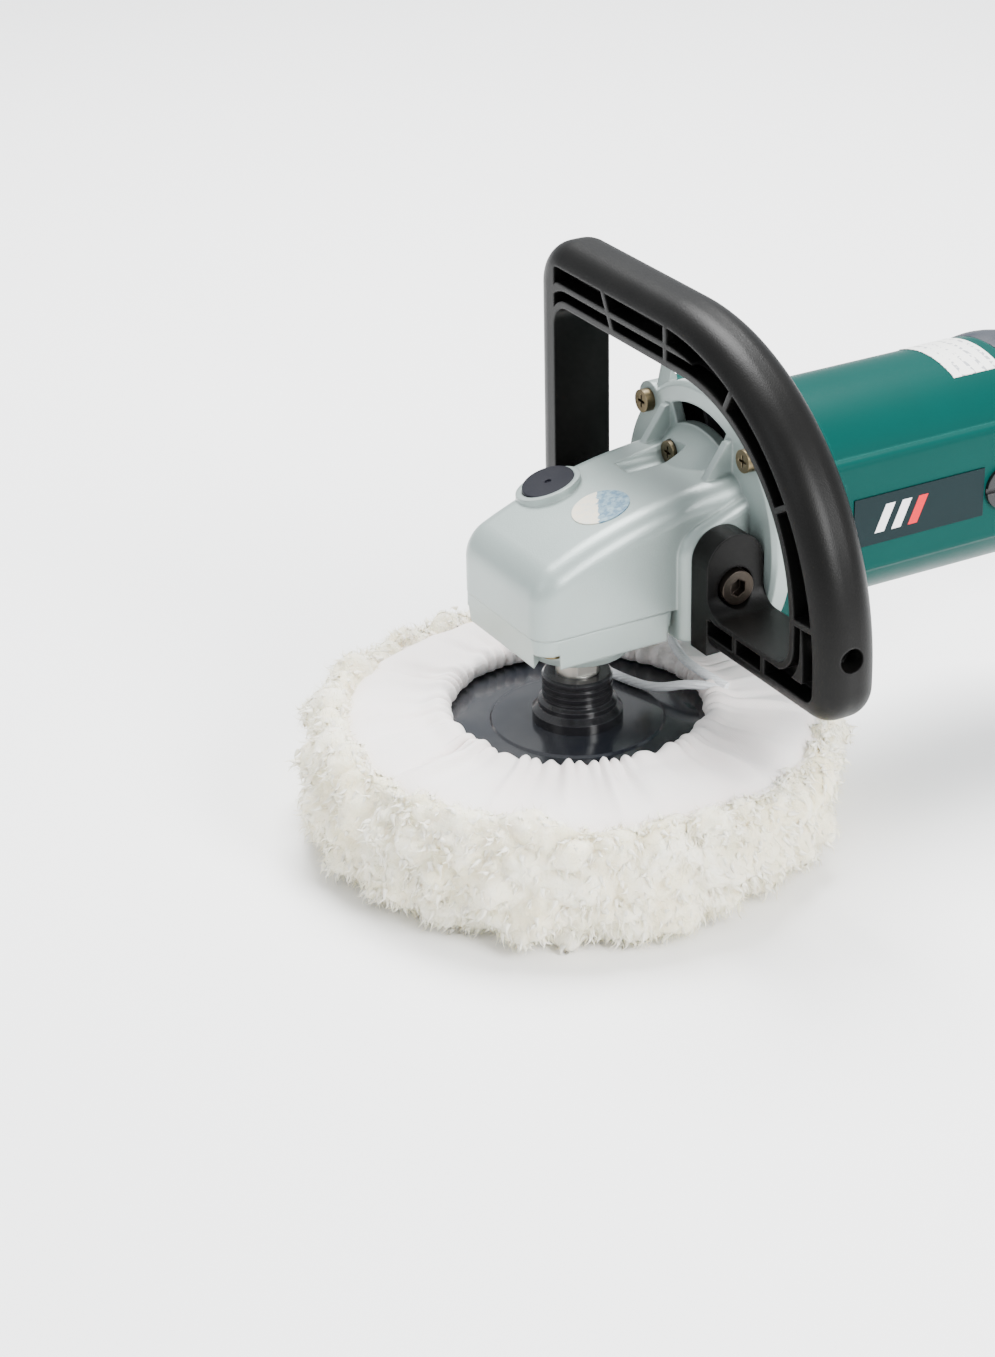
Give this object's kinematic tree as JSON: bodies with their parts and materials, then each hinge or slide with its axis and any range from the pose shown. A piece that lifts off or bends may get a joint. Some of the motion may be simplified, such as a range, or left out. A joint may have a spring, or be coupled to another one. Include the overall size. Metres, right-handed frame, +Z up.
{
  "type": "rotary polisher",
  "caption": "Corded rotary polisher with a sloping gearbox nose, big arched loop handle, straight tail grip and a round wool bonnet drawn over its spinning backing pad.",
  "frame": {"origin": "centre of the flat polishing face of the wool, on the spindle axis", "axes": "+Z up the spindle, +X along the motor towards the tail handle, -Y to the side with the loop handle's big arch"},
  "size_m": [0.5411, 0.2235, 0.2058],
  "materials": {
    "wool": "matte",
    "cloth": "matte",
    "string": "matte",
    "pad_rubber": "gloss",
    "hub_black": "satin",
    "steel": "satin",
    "gear_steel": "satin",
    "bearing_steel": "polished",
    "spring_steel": "satin",
    "cast_alloy": "satin",
    "screw": "satin",
    "dark_bolt": "satin",
    "felt": "matte",
    "sticker": "gloss",
    "black_plastic": "satin",
    "loop_black": "satin",
    "lamination": "satin",
    "winding": "gloss",
    "copper": "polished",
    "brass": "satin",
    "carbon": "matte",
    "fan_plastic": "satin",
    "green_plastic": "satin",
    "dark_label": "gloss",
    "white_label": "satin",
    "tail_plastic": "satin",
    "gland_rubber": "matte"
  },
  "bodies": {
    "housing": {"gear_housing": "cast_alloy", "bearing_box": "cast_alloy", "bearing_box_screws": "screw", "gear_housing_screws": "screw", "bearing_cover_screw": "screw", "bearing_retainer": "steel", "dust_seal": "felt", "upper_needle_bearing": "bearing_steel", "front_bearing_retainer": "steel", "lower_spindle_bearing": "bearing_steel", "front_motor_bearing": "bearing_steel", "rear_motor_bearing": "bearing_steel", "round_sticker": "sticker", "shaft_lock_spring": "spring_steel", "motor_housing": "green_plastic", "fan_baffle": "black_plastic", "stator_core": "lamination", "field_coils": "winding", "brush_holders": "brass", "carbon_brushes": "carbon", "brush_springs": "spring_steel", "brush_caps": "black_plastic", "side_labels": "dark_label", "top_label": "white_label", "loop_handle": "loop_black", "loop_handle_bolts": "dark_bolt", "tail_handle_left": "tail_plastic", "tail_handle_right": "tail_plastic", "tail_handle_screws": "screw", "trigger_pin": "steel", "switch_body": "black_plastic", "speed_controller": "black_plastic", "cord_gland": "gland_rubber"},
    "polishing_head": {"wool_bonnet": "wool", "bonnet_cloth": "cloth", "drawstring": "string", "backing_pad": "pad_rubber", "pad_hub": "hub_black", "pad_washer": "steel", "pad_nut": "steel", "spindle": "steel", "bevel_gear": "gear_steel", "gear_retaining_ring": "steel"},
    "rotor": {"pinion": "gear_steel", "armature_shaft": "steel", "armature_core": "lamination", "armature_windings": "winding", "commutator": "copper", "cooling_fan": "fan_plastic"},
    "shaft_lock": {"shaft_lock_button": "black_plastic", "shaft_lock_pin": "steel"},
    "trigger": {"trigger": "black_plastic"},
    "lock_on": {"lock_on_button": "black_plastic"},
    "speed_dial": {"speed_dial": "black_plastic"}
  },
  "joints": [
    {"name": "spindle_spin", "type": "hinge", "parent": "housing", "child": "polishing_head", "pos_m": [0, 0, 0], "axis": [0, 0, 1], "continuous": true},
    {"name": "rotor_spin", "type": "hinge", "parent": "housing", "child": "rotor", "pos_m": [0.1, 0, 0.1137], "axis": [1, 0, 0], "continuous": true},
    {"name": "shaft_lock_press", "type": "slide", "parent": "housing", "child": "shaft_lock", "axis": [0, 0, -1], "range_m": [0, 0.004], "stiffness_N_per_m": 800, "springref_m": -0.002, "deforming": ["shaft_lock_spring"]},
    {"name": "trigger_pull", "type": "hinge", "parent": "housing", "child": "trigger", "pos_m": [0.259, 0, 0.0912], "axis": [0, -1, 0], "range_deg": [0, 7], "stiffness_Nm_per_rad": 2, "springref_deg": -8.59},
    {"name": "lock_on_press", "type": "slide", "parent": "housing", "child": "lock_on", "axis": [0, 1, 0], "range_m": [0, 0.003], "stiffness_N_per_m": 500, "springref_m": -0.002},
    {"name": "speed_dial_turn", "type": "hinge", "parent": "housing", "child": "speed_dial", "pos_m": [0.402, 0, 0.1238], "axis": [0, 1, 0], "range_deg": [-135, 135]}
  ],
  "couplings": [
    {"joint": "rotor_spin", "follows": "spindle_spin", "ratio": 3.4545}
  ]
}
